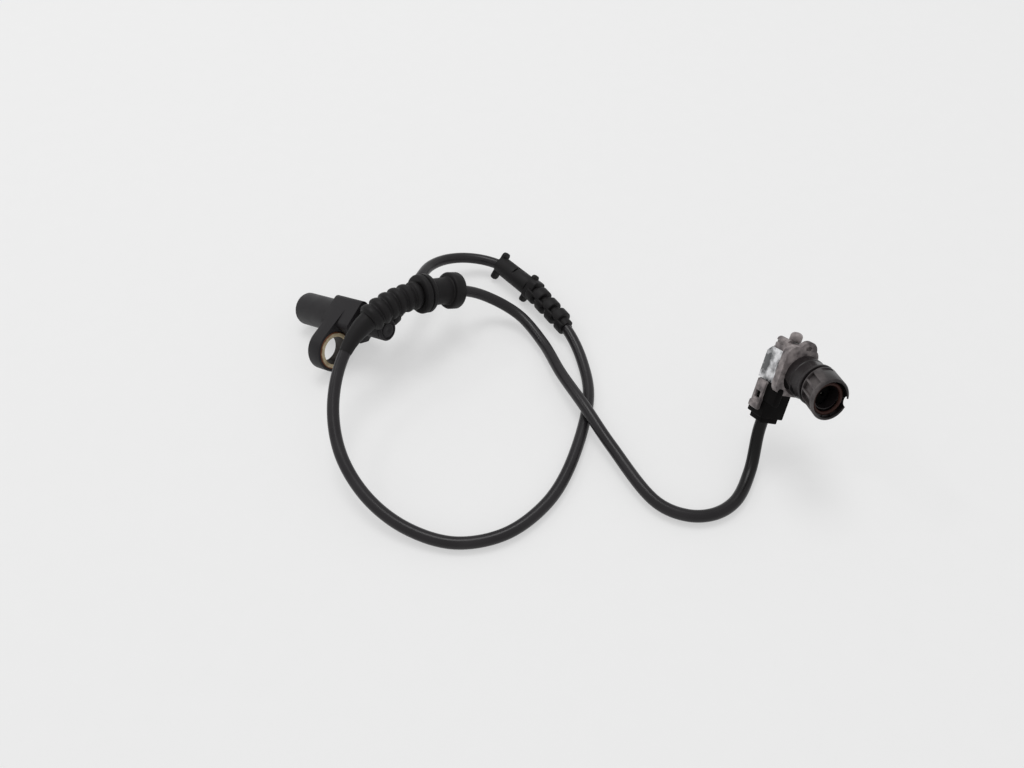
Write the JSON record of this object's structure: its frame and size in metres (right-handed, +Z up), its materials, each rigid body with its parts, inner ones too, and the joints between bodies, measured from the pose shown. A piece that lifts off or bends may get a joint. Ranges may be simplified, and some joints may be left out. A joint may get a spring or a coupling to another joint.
{
  "type": "abs wheel speed sensor",
  "caption": "Wheel speed sensor: round sensing head with a bushed bolt eye, a looped cable with a bellows grommet and a ribbed bracket clip, and a right-angle round plug.",
  "frame": {"origin": "on the surface that the part lies on, under the middle of the sensing head's box (cable and plug left out)", "axes": "+Z up from that surface; +X to the right and +Y away from a viewer who has the head on the left; the head's barrel runs from its tip at the left and back to its rear at the right and front"},
  "size_m": [0.248, 0.1768, 0.0607],
  "materials": {
    "housing_plastic": "matte, moulded",
    "black_rubber": "matte",
    "cable_jacket": "satin",
    "plug_plastic": "satin, moulded",
    "gloss_shell": "gloss",
    "bush_steel": "zinc plated, tarnished, rust at the edge",
    "contact_metal": "tin plated",
    "magnet": "nickel plated",
    "chip_resin": "matte",
    "core_brown": "satin",
    "core_blue": "satin",
    "seal_rubber": "satin"
  },
  "bodies": {
    "root": {"sensor_housing": "housing_plastic", "mounting_bush": "bush_steel", "rear_cap": "housing_plastic", "head_boot": "black_rubber", "element_carrier": "plug_plastic", "sensing_chip": "chip_resin", "bias_magnet": "magnet", "lead_strip_1": "contact_metal", "lead_strip_2": "contact_metal", "head_core_1": "core_brown", "head_core_2": "core_blue", "cable": "cable_jacket", "bellows_grommet": "black_rubber", "bracket_clip": "black_rubber", "plug_housing": "plug_plastic", "entry_sleeve": "black_rubber", "coupling_ring": "plug_plastic", "contact_carrier": "plug_plastic", "contact_pin_1": "contact_metal", "contact_pin_2": "contact_metal", "mouth_seal": "seal_rubber", "plug_core_1": "core_brown", "plug_core_2": "core_blue", "body_cover": "gloss_shell", "top_lug": "plug_plastic", "latch_arm": "plug_plastic"}
  },
  "joints": []
}
